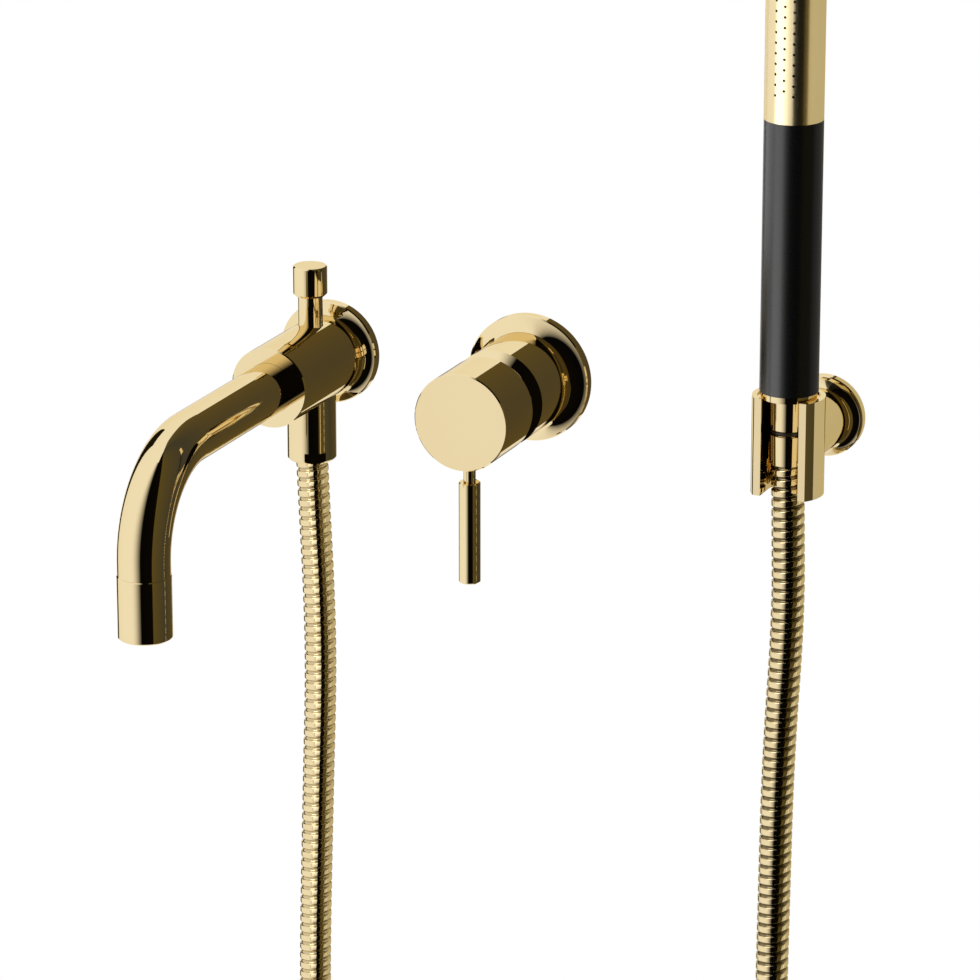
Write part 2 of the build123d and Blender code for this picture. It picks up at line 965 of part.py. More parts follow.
with BuildPart() as holder_clip:
    with BuildSketch(level(holder_x, clip_out, clip_bottom)):
        Circle(clip_radius)
        Circle(clip_bore, mode=Mode.SUBTRACT)
        with Locations((0, -clip_radius)):
            Rectangle(clip_slot, 2 * clip_radius, mode=Mode.SUBTRACT)
        with Locations((0, -clip_front - clip_radius)):
            Rectangle(4 * clip_radius, 2 * clip_radius, mode=Mode.SUBTRACT)
    extrude(amount=clip_top - clip_bottom)
    turn_ring(
        hand_section, hand_axis, 0, clip_seat_radius, clip_seat, clip_top, mode=Mode.SUBTRACT
    )
    turn(
        holder_section,
        holder_axis,
        [
            (0, clip_out),
            (clip_screw_head + slip, clip_out),
            (clip_screw_head + slip, screw_head_out),
            (clip_screw_radius + slip, screw_neck_out),
            (clip_screw_radius + slip, 0),
            (0, 0),
        ],
        mode=Mode.SUBTRACT,
    )

with BuildPart() as holder_clip_screw:
    turn(
        holder_section,
        holder_axis,
        [
            (0, screw_end_out + edge_break),
            (clip_screw_radius, screw_end_out + edge_break),
            (clip_screw_radius, screw_neck_out),
            (clip_screw_head, screw_head_out),
            (0, screw_head_out),
        ],
    )

# Hand shower, standing by its connector's shoulder on the clip's seat
grip_bottom = clip_seat + connector_shoulder
grip_top = grip_bottom + grip_length
head_top = grip_top + head_length
water_tube_bore = water_tube_radius - water_tube_wall
head_bore = hand_radius - head_wall
head_collar_top = grip_top + head_collar
spigot_bottom = connector_low - inlet_spigot_length

with BuildPart() as handshower_connector:
    turn(
        hand_section,
        hand_axis,
        [
            (connector_bore, spigot_bottom),
            (inlet_spigot_radius, spigot_bottom),
            (inlet_spigot_radius, connector_low),
            (connector_low_radius, connector_low),
            (connector_top_radius, clip_seat),
            (connector_shoulder_radius, clip_seat),
            (connector_shoulder_radius, grip_bottom),
            (water_tube_bore - slip, grip_bottom),
            (water_tube_bore - slip, grip_bottom + connector_plug),
            (connector_bore, grip_bottom + connector_plug),
        ],
    )

with BuildPart() as handshower_water_tube:
    turn_ring(
        hand_section, hand_axis, water_tube_bore, water_tube_radius, grip_bottom, head_collar_top
    )

with BuildPart() as handshower_grip:
    turn_ring(hand_section, hand_axis, water_tube_radius + slip, hand_radius, grip_bottom, grip_top)

with BuildPart() as handshower_head:
    turn(
        hand_section,
        hand_axis,
        [
            (water_tube_radius + slip, grip_top),
            (hand_radius, grip_top),
            (hand_radius, head_top),
            (head_bore, head_top),
            (head_bore, head_collar_top),
            (water_tube_radius + slip, head_collar_top),
        ],
    )
    for row in (-1, 0, 1):
        facing = radians(row * spray_row_angle)
        row_plane = Plane(
            origin=(holder_x, -clip_out, grip_top + spray_start),
            x_dir=(cos(facing), sin(facing), 0),
            z_dir=(sin(facing), -cos(facing), 0),
        )
        lag = 0 if row else 0.5 * spray_pitch
        with BuildSketch(row_plane):
            with Locations(*[(0, lag + hole * spray_pitch) for hole in range(spray_holes)]):
                Circle(spray_hole_radius)
        extrude(amount=hand_radius, mode=Mode.SUBTRACT)

with BuildPart() as handshower_end_cap:
    turn(
        hand_section,
        hand_axis,
        [
            (0, head_top - end_cap_plug),
            (head_bore - slip, head_top - end_cap_plug),
            (head_bore - slip, head_top),
            (hand_radius, head_top),
            (hand_radius, head_top + end_cap_height - end_cap_chamfer),
            (hand_radius - end_cap_chamfer, head_top + end_cap_height),
            (0, head_top + end_cap_height),
        ],
    )

# Conical nut that joins the hose to the hand shower, its washer and the hose's ferrule
nut_top = connector_low - nut_gap
nut_bottom = nut_top - cone_nut_length
nut_bore = inlet_spigot_radius + slip
washer_bottom = spigot_bottom - washer_thickness
ferrule_flange_bottom = washer_bottom - ferrule_flange
nut_roof_top = nut_bottom + cone_nut_roof
ferrule_bottom = nut_bottom - ferrule_gap

with BuildPart() as hose_cone_nut:
    turn(
        hand_section,
        hand_axis,
        [
            (ferrule_neck_radius + slip, nut_bottom),
            (cone_nut_low_radius, nut_bottom),
            (connector_low_radius, nut_top),
            (nut_bore, nut_top),
            (nut_bore, nut_roof_top),
            (ferrule_neck_radius + slip, nut_roof_top),
        ],
    )

with BuildPart() as hose_washer:
    turn_ring(
        hand_section, hand_axis, connector_bore, inlet_spigot_radius, washer_bottom, spigot_bottom
    )

with BuildPart() as hose_ferrule:
    turn(
        hand_section,
        hand_axis,
        [
            (hose_bore, ferrule_bottom),
            (ferrule_neck_radius, ferrule_bottom),
            (ferrule_neck_radius, ferrule_flange_bottom),
            (inlet_spigot_radius, ferrule_flange_bottom),
            (inlet_spigot_radius, washer_bottom),
            (hose_bore, washer_bottom),
        ],
    )

# Ribbed hose: straight runs and tangent arcs, ribs as rings of four circles along the way
hose_points = [
    (spout_x, -diverter_out, outlet_bottom),
    (spout_x, -diverter_out, outlet_bottom - hose_lead),
    *hose_route,
    (holder_x, -clip_out, ferrule_bottom - hose_lead),
    (holder_x, -clip_out, ferrule_bottom),
]
hose_corners = [Vector(*point) for point in hose_points]
hose_runs = [b - a for a, b in zip(hose_corners, hose_corners[1:])]
hose_radii = []
for before, after in zip(hose_runs, hose_runs[1:]):
    half_turn = radians(before.get_angle(after)) / 2
    hose_radii.append(hose_arc_share * min(before.length, after.length) / tan(half_turn))
print("hose arc radii", [round(radius) for radius in hose_radii])

with BuildLine() as hose_path:
    FilletPolyline(*hose_points, radius=hose_radii)
hose_line = hose_path.wires()[0]
print("hose length", round(hose_line.length, 1))

rib_pitch = hose_line.length / hose_ribs
valley_radius = hose_radius - hose_rib_depth
rib_profile = [
    (0, valley_radius),
    (hose_rib_flank, hose_radius),
    (hose_rib_flank + hose_rib_crest, hose_radius),
    (2 * hose_rib_flank + hose_rib_crest, valley_radius),
]


def hose_station(distance):
    """Plane across the hose at this distance along it, with its x axis held to the wall's normal."""
    share = min(max(distance / hose_line.length, 0), 1)
    return Plane(origin=hose_line @ share, x_dir=(0, 1, 0), z_dir=hose_line % share)


with BuildPart() as shower_hose:
    for rib in range(hose_ribs):
        for share, radius in rib_profile:
            with BuildSketch(hose_station((rib + share) * rib_pitch)):
                Circle(radius)
    with BuildSketch(hose_station(hose_line.length)):
        Circle(valley_radius)
    loft(ruled=True)
    with BuildSketch(hose_station(0)) as hose_mouth:
        Circle(hose_bore)
    sweep(hose_mouth.sketch, path=hose_line, mode=Mode.SUBTRACT)

pieces = {
    "spout_rosette": spout_rosette,
    "spout_rosette_seal": spout_rosette_seal,
    "spout_body": spout_body,
    "spout_wall_nipple": spout_wall_nipple,
    "spout_nipple_seal": spout_nipple_seal,
    "spout_tube_seal": spout_tube_seal,
    "spout_tube": spout_tube,
    "spout_grub_screw": spout_grub_screw,
    "aerator_ring": aerator_ring,
    "aerator_insert": aerator_insert,
    "aerator_washer": aerator_washer,
    "diverter_bonnet": diverter_bonnet,
    "diverter_bonnet_seal": diverter_bonnet_seal,
    "diverter_rod": diverter_rod,
    "diverter_knob": diverter_knob,
    "diverter_lower_seal": diverter_lower_seal,
    "diverter_piston": diverter_piston,
    "diverter_upper_seal": diverter_upper_seal,
    "hose_outlet": hose_outlet,
    "outlet_washer": outlet_washer,
    "hose_outlet_ferrule": hose_outlet_ferrule,
    "mixer_body": mixer_body,
    "mixer_rosette": mixer_rosette,
    "mixer_rosette_seal": mixer_rosette_seal,
    "mixer_sleeve": mixer_sleeve,
    "cartridge_base_seal": cartridge_base_seal,
    "cartridge_base": cartridge_base,
    "fixed_ceramic_disc": fixed_ceramic_disc,
    "moving_ceramic_disc": moving_ceramic_disc,
    "cartridge_housing": cartridge_housing,
    "cartridge_guide": cartridge_guide,
    "cartridge_pivot_pin": cartridge_pivot_pin,
    "cartridge_stem": cartridge_stem,
    "cartridge_nut": cartridge_nut,
    "handle_cap": handle_cap,
    "handle_grub_screw": handle_grub_screw,
    "mixer_lever": mixer_lever,
    "holder_rosette": holder_rosette,
    "holder_wall_plate": holder_wall_plate,
    "holder_arm": holder_arm,
    "holder_grub_screw": holder_grub_screw,
    "holder_clip": holder_clip,
    "holder_clip_screw": holder_clip_screw,
    "handshower_connector": handshower_connector,
    "handshower_water_tube": handshower_water_tube,
    "handshower_grip": handshower_grip,
    "handshower_head": handshower_head,
    "handshower_end_cap": handshower_end_cap,
    "hose_cone_nut": hose_cone_nut,
    "hose_washer": hose_washer,
    "hose_ferrule": hose_ferrule,
    "shower_hose": shower_hose,
}
for name, piece in pieces.items():
    piece.part.label = name
    export_step(piece.part, f"parts/{name}.step")
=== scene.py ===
"""A wall bath set in champagne gold: bent spout, lever mixer and stick hand shower on a ribbed hose."""

import math

import bpy
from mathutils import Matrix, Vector


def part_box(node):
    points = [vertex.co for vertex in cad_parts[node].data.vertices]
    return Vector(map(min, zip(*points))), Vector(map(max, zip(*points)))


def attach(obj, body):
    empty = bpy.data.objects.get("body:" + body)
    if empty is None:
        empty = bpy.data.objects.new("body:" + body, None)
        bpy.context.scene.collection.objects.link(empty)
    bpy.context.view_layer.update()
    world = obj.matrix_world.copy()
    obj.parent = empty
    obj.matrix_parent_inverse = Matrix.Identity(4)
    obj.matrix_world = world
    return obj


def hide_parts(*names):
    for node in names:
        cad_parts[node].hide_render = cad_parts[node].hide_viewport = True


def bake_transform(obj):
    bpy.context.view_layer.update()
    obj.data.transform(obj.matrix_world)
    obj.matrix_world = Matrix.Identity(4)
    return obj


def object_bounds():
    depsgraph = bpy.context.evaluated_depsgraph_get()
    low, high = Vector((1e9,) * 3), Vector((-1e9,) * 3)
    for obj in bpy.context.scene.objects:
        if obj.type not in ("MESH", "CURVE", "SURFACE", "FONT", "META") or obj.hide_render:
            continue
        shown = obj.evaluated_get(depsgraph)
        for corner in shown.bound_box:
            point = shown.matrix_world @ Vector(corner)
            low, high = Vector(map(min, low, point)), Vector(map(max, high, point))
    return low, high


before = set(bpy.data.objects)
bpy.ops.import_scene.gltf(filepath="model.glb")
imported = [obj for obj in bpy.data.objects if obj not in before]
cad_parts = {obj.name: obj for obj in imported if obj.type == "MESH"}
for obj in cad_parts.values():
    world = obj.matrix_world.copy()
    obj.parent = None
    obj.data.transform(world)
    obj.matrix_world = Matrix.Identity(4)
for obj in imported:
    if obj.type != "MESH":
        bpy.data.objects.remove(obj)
cad_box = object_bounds()


# Bare brass: the wall nipple, the mixer body with its flange and ports and the plate behind the holder,
# which are fixed to the wall, and the diverter's rod and piston, the cartridge nut and one hose ferrule.
# They are turned and milled from rod and left unplated.
grain_low = 0.3
grain_high = 0.7


def new_finish(name, **sockets):
    """A node material with constant values set on the shader's own sockets, and its node tree."""
    finish = bpy.data.materials.new(name)
    finish.use_nodes = True
    shader = finish.node_tree.nodes["Principled BSDF"]
    for socket, value in sockets.items():
        shader.inputs[socket.replace("_", " ")].default_value = value
    return finish, finish.node_tree, shader


def grain(tree, scale, stretch=(1, 1, 1), detail=3.0):
    """Noise over the piece's own coordinates; a low stretch draws the grain out along that axis."""
    place = tree.nodes.new("ShaderNodeTexCoord")
    mapping = tree.nodes.new("ShaderNodeMapping")
    mapping.inputs["Scale"].default_value = stretch
    noise = tree.nodes.new("ShaderNodeTexNoise")
    noise.inputs["Scale"].default_value = scale
    noise.inputs["Detail"].default_value = detail
    tree.links.new(place.outputs["Object"], mapping.inputs["Vector"])
    tree.links.new(mapping.outputs["Vector"], noise.inputs["Vector"])
    return noise.outputs["Fac"]


def shade_range(tree, factor, low, high, target):
    """The factor spread over a range of values and joined to the target socket."""
    spread = tree.nodes.new("ShaderNodeMapRange")
    spread.inputs["From Min"].default_value = grain_low
    spread.inputs["From Max"].default_value = grain_high
    spread.inputs["To Min"].default_value = low
    spread.inputs["To Max"].default_value = high
    tree.links.new(factor, spread.inputs["Value"])
    tree.links.new(spread.outputs["Result"], target)


def tint(tree, factor, low, high, target):
    """The factor drawn as a drift between two colours and joined to the target socket."""
    ramp = tree.nodes.new("ShaderNodeValToRGB")
    ramp.color_ramp.elements[0].position = grain_low
    ramp.color_ramp.elements[0].color = (*low, 1)
    ramp.color_ramp.elements[1].position = grain_high
    ramp.color_ramp.elements[1].color = (*high, 1)
    tree.links.new(factor, ramp.inputs["Fac"])
    tree.links.new(ramp.outputs["Color"], target)


def relief(tree, factor, depth, shader):
    """The factor as a surface relief of the given depth in metres."""
    bump = tree.nodes.new("ShaderNodeBump")
    bump.inputs["Distance"].default_value = depth
    tree.links.new(factor, bump.inputs["Height"])
    tree.links.new(bump.outputs["Normal"], shader.inputs["Normal"])


def dress(finish, *nodes):
    """Gives the finish to the named solids."""
    for node in nodes:
        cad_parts[node].material_slots[0].material = finish


turned_brass, tree, shader = new_finish("turned_brass", Metallic=1.0)
tool_marks = grain(tree, 900, stretch=(1, 0.05, 1))
tint(tree, grain(tree, 60), (0.66, 0.49, 0.22), (0.74, 0.58, 0.30), shader.inputs["Base Color"])
shade_range(tree, tool_marks, 0.24, 0.36, shader.inputs["Roughness"])
relief(tree, tool_marks, 0.00003, shader)
dress(turned_brass, "spout_wall_nipple", "mixer_body", "holder_wall_plate", "diverter_rod",
      "diverter_piston", "cartridge_nut", "hose_outlet_ferrule")


# Seals and washers: rings cut or moulded from black rubber. They are pinched between the metal pieces
# and only their rims are ever seen.
moulded_rubber, tree, shader = new_finish("moulded_rubber", Specular_IOR_Level=0.3)
bloom = grain(tree, 700)
tint(tree, bloom, (0.014, 0.014, 0.014), (0.026, 0.026, 0.025), shader.inputs["Base Color"])
shade_range(tree, bloom, 0.62, 0.78, shader.inputs["Roughness"])
relief(tree, bloom, 0.00004, shader)
dress(moulded_rubber, "spout_rosette_seal", "spout_nipple_seal", "spout_tube_seal", "aerator_washer",
      "diverter_bonnet_seal", "diverter_lower_seal", "diverter_upper_seal", "outlet_washer",
      "mixer_rosette_seal", "cartridge_base_seal", "hose_washer")


# Cartridge: a white acetal case and turning guide round two lapped ceramic discs, clamped in the mixer body
# by a brass nut. A pin lets the steel stem tilt in the guide. The aerator's insert and the stick's water
# tube are of the same acetal, and the small screws of the same steel.
moulded_acetal, tree, shader = new_finish("moulded_acetal", Subsurface_Weight=0.05)
flow_marks = grain(tree, 300)
tint(tree, flow_marks, (0.78, 0.78, 0.75), (0.85, 0.85, 0.83), shader.inputs["Base Color"])
shade_range(tree, flow_marks, 0.36, 0.46, shader.inputs["Roughness"])
relief(tree, flow_marks, 0.00002, shader)
dress(moulded_acetal, "cartridge_base", "cartridge_housing", "cartridge_guide", "aerator_insert",
      "handshower_water_tube")

lapped_ceramic, tree, shader = new_finish("lapped_ceramic", Coat_Weight=0.3)
crystals = grain(tree, 2500)
tint(tree, crystals, (0.88, 0.87, 0.82), (0.95, 0.94, 0.91), shader.inputs["Base Color"])
shade_range(tree, crystals, 0.10, 0.18, shader.inputs["Roughness"])
dress(lapped_ceramic, "fixed_ceramic_disc", "moving_ceramic_disc")

bright_steel, tree, shader = new_finish("bright_steel", Metallic=1.0)
drawn_lines = grain(tree, 1500, stretch=(1, 1, 0.05))
tint(tree, drawn_lines, (0.57, 0.57, 0.58), (0.66, 0.66, 0.67), shader.inputs["Base Color"])
shade_range(tree, drawn_lines, 0.22, 0.34, shader.inputs["Roughness"])
dress(bright_steel, "cartridge_pivot_pin", "cartridge_stem", "spout_grub_screw", "handle_grub_screw",
      "holder_grub_screw", "holder_clip_screw")


# Plated fittings: rosettes, spout, mixer sleeve and handle, outlet, holder and hose nut. They are brass,
# buffed to a mirror and coated champagne gold, with a faint drift of tone and of buffing haze.
deep_gold = (0.845, 0.695, 0.408)
light_gold = (0.865, 0.721, 0.438)
gold_edge = (0.92, 0.84, 0.66, 1)
mirror_gold, tree, shader = new_finish("mirror_gold", Metallic=1.0, Specular_Tint=gold_edge)
tint(tree, grain(tree, 14), deep_gold, light_gold, shader.inputs["Base Color"])
shade_range(tree, grain(tree, 120), 0.025, 0.05, shader.inputs["Roughness"])
dress(mirror_gold, "spout_rosette", "spout_body", "spout_tube", "aerator_ring", "diverter_bonnet",
      "diverter_knob", "hose_outlet", "mixer_rosette", "mixer_sleeve", "handle_cap", "mixer_lever",
      "holder_rosette", "holder_arm", "holder_clip", "handshower_connector", "hose_cone_nut",
      "hose_ferrule")


# Spray head: a drawn brass tube with three rows of spray holes and a cap pressed into its top end. It is
# fine-sanded along its length before the same coating, so it mirrors softly.
satin_gold, tree, shader = new_finish("satin_gold", Metallic=1.0, Specular_Tint=gold_edge)
sanding = grain(tree, 4000, stretch=(1, 1, 0.02))
tint(tree, grain(tree, 20), deep_gold, light_gold, shader.inputs["Base Color"])
shade_range(tree, sanding, 0.20, 0.24, shader.inputs["Roughness"])
relief(tree, sanding, 0.000001, shader)
dress(satin_gold, "handshower_head", "handshower_end_cap")


# Grip: a black sleeve over the lower half of the stick, with a matte soft-touch skin. It is pushed on
# from below and held between the spray head and the hose connector.
soft_touch, tree, shader = new_finish("soft_touch_black", Specular_IOR_Level=0.6)
skin = grain(tree, 3500)
tint(tree, skin, (0.0015, 0.0015, 0.0017), (0.003, 0.003, 0.0033), shader.inputs["Base Color"])
shade_range(tree, skin, 0.26, 0.32, shader.inputs["Roughness"])
relief(tree, skin, 0.000012, shader)
dress(soft_touch, "handshower_grip")


# Hose: a strip of gold-coated brass wound and locked into a ribbed spiral round a plastic liner. It hangs
# in one loop from the outlet under the spout to the hand shower, and its ends are crimped in ferrules.
hose_diameter = 0.0149
hose_route = [
    (-0.1006, -0.0225, -0.0459), (-0.0996, -0.0226, -0.0699), (-0.0972, -0.0235, -0.1120),
    (-0.0964, -0.0241, -0.1500), (-0.0980, -0.0249, -0.2050), (-0.1003, -0.0264, -0.3000),
    (-0.0995, -0.0275, -0.4000), (-0.0860, -0.0295, -0.4830), (-0.0460, -0.0325, -0.5490),
    (0.0150, -0.0365, -0.5770), (0.0790, -0.0410, -0.5570), (0.1230, -0.0450, -0.4980),
    (0.1380, -0.0470, -0.4180), (0.1393, -0.0477, -0.3220), (0.1402, -0.0476, -0.2250),
    (0.1410, -0.0475, -0.1480), (0.1447, -0.0474, -0.0800), (0.1436, -0.0473, -0.0329),
    (0.1430, -0.0473, -0.0089),
]
hose_curve = bpy.data.curves.new("hose_route", "CURVE")
hose_curve.dimensions = "3D"
hose_curve.resolution_u = 24
hose_spline = hose_curve.splines.new("NURBS")
hose_spline.points.add(len(hose_route) - 1)
for control, place in zip(hose_spline.points, hose_route):
    control.co = (*place, 1)
hose_spline.order_u = 3
hose_spline.use_endpoint_u = True
route_object = bpy.data.objects.new("hose_route", hose_curve)
bpy.context.scene.collection.objects.link(route_object)
route_shape = route_object.evaluated_get(bpy.context.evaluated_depsgraph_get())
hose_line = bpy.data.meshes.new_from_object(route_shape)
bpy.data.objects.remove(route_object)

# The strip is coated like the fittings. Its grooves carry painted shade: their colour is mixed toward dark
# brown, more on the hand shower's side than on the outlet's side.
strip_gold = (0.83, 0.68, 0.395)
groove_shade_brown = (0.13, 0.10, 0.05, 1)
outlet_side = -0.06
shower_side = 0.11
ribbed_gold, tree, shader = new_finish("ribbed_gold", Metallic=1.0, Specular_Tint=gold_edge)
shade_range(tree, grain(tree, 600), 0.05, 0.09, shader.inputs["Roughness"])
depth_in_groove = tree.nodes.new("ShaderNodeAttribute")
depth_in_groove.attribute_name = "groove"
hose_place = tree.nodes.new("ShaderNodeTexCoord")
across = tree.nodes.new("ShaderNodeSeparateXYZ")
# Painted shade in the grooves: the mix toward brown grows from the outlet's side to the hand shower's side.
groove_shade_spread = tree.nodes.new("ShaderNodeMapRange")
groove_shade_spread.inputs["From Min"].default_value = outlet_side
groove_shade_spread.inputs["From Max"].default_value = shower_side
groove_shade_spread.inputs["To Min"].default_value = 0.35
groove_shade_spread.inputs["To Max"].default_value = 1.0
groove_shade_amount = tree.nodes.new("ShaderNodeMath")
groove_shade_amount.operation = "MULTIPLY"
tree.links.new(hose_place.outputs["Object"], across.inputs["Vector"])
tree.links.new(across.outputs["X"], groove_shade_spread.inputs["Value"])
tree.links.new(groove_shade_spread.outputs["Result"], groove_shade_amount.inputs[0])
tree.links.new(depth_in_groove.outputs["Fac"], groove_shade_amount.inputs[1])
groove_shade_mix = tree.nodes.new("ShaderNodeMix")
groove_shade_mix.data_type = "RGBA"
groove_shade_mix.inputs["B"].default_value = groove_shade_brown
tint(tree, grain(tree, 40), strip_gold, light_gold, groove_shade_mix.inputs["A"])
tree.links.new(groove_shade_amount.outputs["Value"], groove_shade_mix.inputs["Factor"])
tree.links.new(groove_shade_mix.outputs["Result"], shader.inputs["Base Color"])

# One rib of the wound strip: its place along the pitch and its height from groove to crest.
rib_rows = [
    (0.0, 0.54), (0.018, 0.78), (0.05, 0.91), (0.12, 0.965), (0.21, 0.99), (0.32, 1.0), (0.43, 0.99),
    (0.52, 0.965), (0.59, 0.91), (0.622, 0.78), (0.64, 0.54), (0.69, 0.14), (0.82, 0.0), (0.95, 0.14),
]
rib_sizes = {"Hose radius": hose_diameter / 2, "Rib depth": 0.0009, "Ribs": 256.0}
hose_sides = 24
seam_gap = 0.00006
end_tolerance = 1e-6
winding = bpy.data.node_groups.new("wound_strip", "GeometryNodeTree")
winding.interface.new_socket("Geometry", in_out="INPUT", socket_type="NodeSocketGeometry")
rib_sockets = {
    size: winding.interface.new_socket(size, in_out="INPUT", socket_type="NodeSocketFloat").identifier
    for size in rib_sizes
}
winding.interface.new_socket("Geometry", in_out="OUTPUT", socket_type="NodeSocketGeometry")


def step(kind, **settings):
    """A node of the winding tree with its settings."""
    node = winding.nodes.new(kind)
    for setting, value in settings.items():
        setattr(node, setting, value)
    return node


def sum_up(operation, first, second=None):
    """A sum of the winding tree: each side is a socket or a plain number."""
    node = step("ShaderNodeMath", operation=operation)
    for entry, value in zip(node.inputs, (first, second)):
        if isinstance(value, bpy.types.NodeSocket):
            winding.links.new(value, entry)
        elif value is not None:
            entry.default_value = value
    return node.outputs["Value"]


def keep(source, kind, name, field):
    """Keeps a field on the points of the source geometry, and gives that geometry and the kept field."""
    node = step("GeometryNodeCaptureAttribute")
    node.capture_items.new(kind, name)
    winding.links.new(source, node.inputs["Geometry"])
    winding.links.new(field, node.inputs[name])
    return node.outputs["Geometry"], node.outputs[name]


def by_row(place, values):
    """A value for each row of the rib, read from a curve at the row's place."""
    node = step("ShaderNodeFloatCurve")
    curve = node.mapping.curves[0]
    places = [(row + 0.5) / len(values) for row in range(len(values))]
    curve.points[0].location = (places[0], values[0])
    curve.points[1].location = (places[-1], values[-1])
    for spot, value in list(zip(places, values))[1:-1]:
        curve.points.new(spot, value)
    for point in curve.points:
        point.handle_type = "VECTOR"
    node.mapping.update()
    winding.links.new(place, node.inputs["Value"])
    return node.outputs["Value"]


entry = step("NodeGroupInput")
leave = step("NodeGroupOutput")
to_curve = step("GeometryNodeMeshToCurve")
winding.links.new(entry.outputs["Geometry"], to_curve.inputs["Mesh"])
measured = step("GeometryNodeCurveLength")
winding.links.new(to_curve.outputs["Curve"], measured.inputs["Curve"])
length = measured.outputs["Length"]
pitch = sum_up("DIVIDE", length, entry.outputs["Ribs"])
last_row = sum_up("MULTIPLY", sum_up("ADD", entry.outputs["Ribs"], 1.0), len(rib_rows))
evened = step("GeometryNodeResampleCurve", mode="COUNT")
winding.links.new(to_curve.outputs["Curve"], evened.inputs["Curve"])
winding.links.new(sum_up("ADD", last_row, 1.0), evened.inputs["Count"])
route = evened.outputs["Curve"]
route, row = keep(route, "FLOAT", "Row", step("GeometryNodeSplineParameter").outputs["Index"])
route, onward = keep(route, "VECTOR", "Onward", step("GeometryNodeInputTangent").outputs["Tangent"])
route, middle = keep(route, "VECTOR", "Middle", step("GeometryNodeInputPosition").outputs["Position"])
ring = step("GeometryNodeCurveArc", mode="RADIUS")
ring.inputs["Resolution"].default_value = hose_sides + 1
ring.inputs["Sweep Angle"].default_value = math.tau
winding.links.new(entry.outputs["Hose radius"], ring.inputs["Radius"])
factor = step("GeometryNodeSplineParameter").outputs["Factor"]
circle, turned = keep(ring.outputs["Curve"], "FLOAT", "Turn", factor)
tube = step("GeometryNodeCurveToMesh")
winding.links.new(route, tube.inputs["Curve"])
winding.links.new(circle, tube.inputs["Profile Curve"])

# Each row of the tube is drawn out into one turn of the winding and set to its height on the rib.
count = sum_up("DIVIDE", sum_up("ADD", row, 0.5), len(rib_rows))
whole = sum_up("FLOOR", count)
place = sum_up("FRACT", count)
spot_on_rib = by_row(place, [spot for spot, height in rib_rows])
wound = sum_up("SUBTRACT", sum_up("ADD", sum_up("ADD", whole, spot_on_rib), turned), 1.0)
wanted = sum_up("MULTIPLY", wound, pitch)
held = sum_up("MINIMUM", sum_up("MAXIMUM", wanted, 0.0), length)
inside = sum_up("LESS_THAN", sum_up("ABSOLUTE", sum_up("SUBTRACT", held, wanted)), end_tolerance)
shift = sum_up("SUBTRACT", held, sum_up("MULTIPLY", length, sum_up("DIVIDE", row, last_row)))
level = sum_up("MULTIPLY", by_row(place, [height for spot, height in rib_rows]), inside)
sink = sum_up("MULTIPLY", sum_up("SUBTRACT", level, 1.0), entry.outputs["Rib depth"])
outward = step("ShaderNodeVectorMath", operation="SUBTRACT")
winding.links.new(step("GeometryNodeInputPosition").outputs["Position"], outward.inputs[0])
winding.links.new(middle, outward.inputs[1])
straight_out = step("ShaderNodeVectorMath", operation="NORMALIZE")
winding.links.new(outward.outputs["Vector"], straight_out.inputs[0])
move_out = step("ShaderNodeVectorMath", operation="SCALE")
winding.links.new(straight_out.outputs["Vector"], move_out.inputs[0])
winding.links.new(sink, move_out.inputs["Scale"])
move_on = step("ShaderNodeVectorMath", operation="SCALE")
winding.links.new(onward, move_on.inputs[0])
winding.links.new(shift, move_on.inputs["Scale"])
move = step("ShaderNodeVectorMath", operation="ADD")
winding.links.new(move_out.outputs["Vector"], move.inputs[0])
winding.links.new(move_on.outputs["Vector"], move.inputs[1])
ribbed = step("GeometryNodeSetPosition")
winding.links.new(tube.outputs["Mesh"], ribbed.inputs["Geometry"])
winding.links.new(move.outputs["Vector"], ribbed.inputs["Offset"])
marked = step("GeometryNodeStoreNamedAttribute", data_type="FLOAT", domain="POINT")
marked.inputs["Name"].default_value = "groove"
winding.links.new(ribbed.outputs["Geometry"], marked.inputs["Geometry"])
winding.links.new(sum_up("SUBTRACT", 1.0, level), marked.inputs["Value"])
joined = step("GeometryNodeMergeByDistance")
joined.inputs["Distance"].default_value = seam_gap
winding.links.new(marked.outputs["Geometry"], joined.inputs["Geometry"])
smooth = step("GeometryNodeSetShadeSmooth")
winding.links.new(joined.outputs["Geometry"], smooth.inputs["Geometry"])
realized = step("GeometryNodeRealizeInstances")
winding.links.new(smooth.outputs["Geometry"], realized.inputs["Geometry"])
coated = step("GeometryNodeSetMaterial")
coated.inputs["Material"].default_value = ribbed_gold
winding.links.new(realized.outputs["Geometry"], coated.inputs["Geometry"])
winding.links.new(coated.outputs["Geometry"], leave.inputs["Geometry"])

hose_maker = bpy.data.objects.new("hose_maker", hose_line)
bpy.context.scene.collection.objects.link(hose_maker)
winder = hose_maker.modifiers.new("winding", "NODES")
winder.node_group = winding
for size, identifier in rib_sockets.items():
    winder[identifier] = rib_sizes[size]
wound_shape = hose_maker.evaluated_get(bpy.context.evaluated_depsgraph_get())
hose_mesh = bpy.data.meshes.new_from_object(wound_shape)
bpy.data.objects.remove(hose_maker)
hose = bpy.data.objects.new("ribbed_hose", hose_mesh)
bpy.context.scene.collection.objects.link(hose)
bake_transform(hose)
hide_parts("shower_hose")
